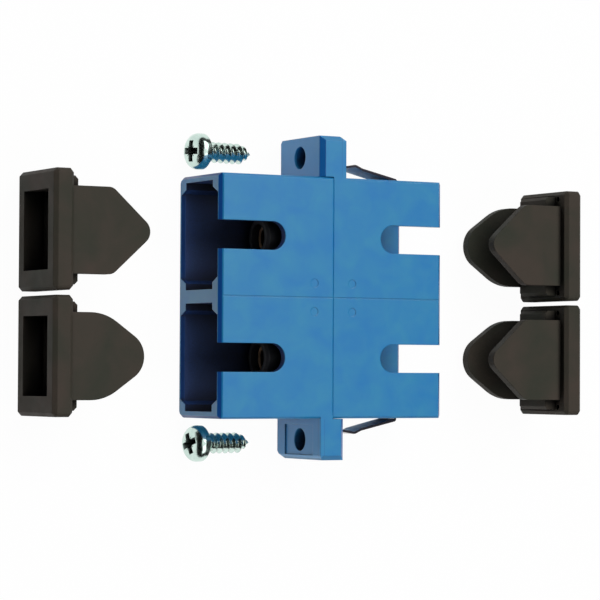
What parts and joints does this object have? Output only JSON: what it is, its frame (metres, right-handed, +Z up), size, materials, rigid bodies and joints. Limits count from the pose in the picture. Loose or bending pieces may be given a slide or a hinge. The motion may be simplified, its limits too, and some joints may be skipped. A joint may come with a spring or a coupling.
{
  "type": "sc fibre adapter",
  "caption": "Duplex through adapter for square push-pull fibre plugs, with fixing ears, sprung panel clips, pull-out dust caps and fixing screws.",
  "frame": {"origin": "on the floor under the middle of the seam between the two housing halves", "axes": "+X along the ports towards the clipped half, +Y from the lower to the upper port, +Z up out of the face with the key slots"},
  "size_m": [0.0642, 0.0346, 0.0093],
  "materials": {
    "blue_housing": "satin moulded blue",
    "dark_cage": "moulded, near black",
    "bronze_sleeve": "rolled phosphor bronze",
    "spring_steel": "bright spring steel strip",
    "dark_cap": "matt moulded, dark brown grey",
    "zinc_screw": "bright zinc plated"
  },
  "bodies": {
    "adapter": {"housing_half_left": "blue_housing", "housing_half_right": "blue_housing", "latch_cage_left_upper": "dark_cage", "latch_cage_left_lower": "dark_cage", "latch_cage_right_upper": "dark_cage", "latch_cage_right_lower": "dark_cage", "alignment_sleeve_upper": "bronze_sleeve", "alignment_sleeve_lower": "bronze_sleeve", "fixing_screw_upper": "zinc_screw", "fixing_screw_lower": "zinc_screw"},
    "cap_left_upper": {"dust_cap_left_upper": "dark_cap"},
    "cap_left_lower": {"dust_cap_left_lower": "dark_cap"},
    "cap_right_upper": {"dust_cap_right_upper": "dark_cap"},
    "cap_right_lower": {"dust_cap_right_lower": "dark_cap"},
    "clip_upper": {"panel_clip_upper": "spring_steel"},
    "clip_lower": {"panel_clip_lower": "spring_steel"}
  },
  "joints": [
    {"name": "cap_left_upper_slide", "type": "slide", "parent": "adapter", "child": "cap_left_upper", "axis": [1, 0, 0], "range_m": [0, 0.0163]},
    {"name": "cap_left_lower_slide", "type": "slide", "parent": "adapter", "child": "cap_left_lower", "axis": [1, 0, 0], "range_m": [0, 0.0163]},
    {"name": "cap_right_upper_slide", "type": "slide", "parent": "adapter", "child": "cap_right_upper", "axis": [-1, 0, 0], "range_m": [0, 0.0163]},
    {"name": "cap_right_lower_slide", "type": "slide", "parent": "adapter", "child": "cap_right_lower", "axis": [-1, 0, 0], "range_m": [0, 0.0163]},
    {"name": "clip_upper_flex", "type": "hinge", "parent": "adapter", "child": "clip_upper", "pos_m": [0.00958, 0.01294, 0.00465], "axis": [0, 0, 1], "range_deg": [0, 8.5], "stiffness_Nm_per_rad": 0.1},
    {"name": "clip_lower_flex", "type": "hinge", "parent": "adapter", "child": "clip_lower", "pos_m": [0.00958, -0.01294, 0.00465], "axis": [0, 0, -1], "range_deg": [0, 8.5], "stiffness_Nm_per_rad": 0.1}
  ]
}
